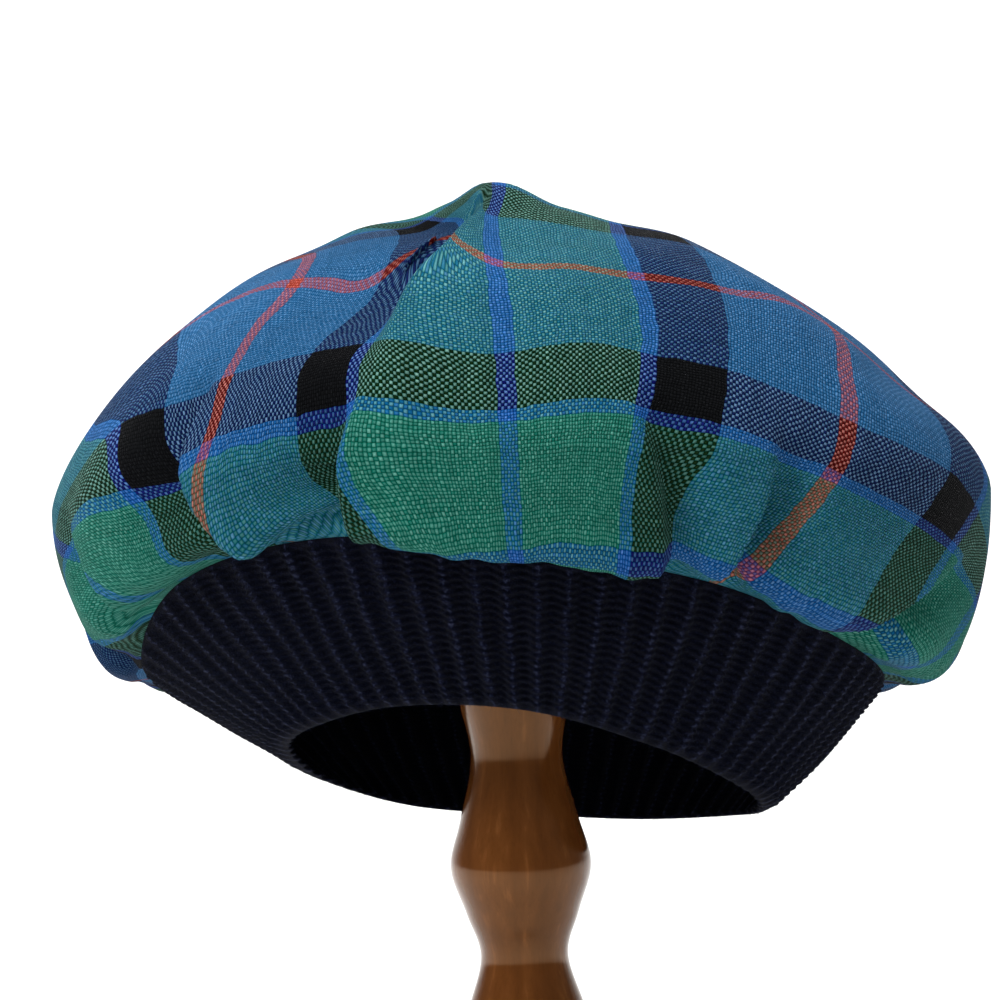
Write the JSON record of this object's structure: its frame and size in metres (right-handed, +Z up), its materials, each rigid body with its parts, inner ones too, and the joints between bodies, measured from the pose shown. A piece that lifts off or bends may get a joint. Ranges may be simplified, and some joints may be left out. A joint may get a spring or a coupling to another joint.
{
  "type": "tam o shanter on a stand",
  "caption": "Soft round tartan cap gathered into a ribbed knit headband, resting on a turned wooden display stand with a round foot.",
  "frame": {"origin": "centre of the stand's underside, on the surface that it stands on", "axes": "+Z up along the post, the hat's front towards -Y, its right side as seen from the front towards +X"},
  "size_m": [0.287, 0.2579, 0.32],
  "materials": {
    "tartan_wool": "matt woven wool tartan in green, blue and black with red and azure lines",
    "knit_wool": "matt, slightly fuzzy dark navy rib knit",
    "varnished_wood": "glossy varnish over mid brown wood"
  },
  "bodies": {
    "root": {"crown": "tartan_wool", "headband": "knit_wool", "stand_post": "varnished_wood", "stand_head": "varnished_wood", "stand_base": "varnished_wood"}
  },
  "joints": []
}
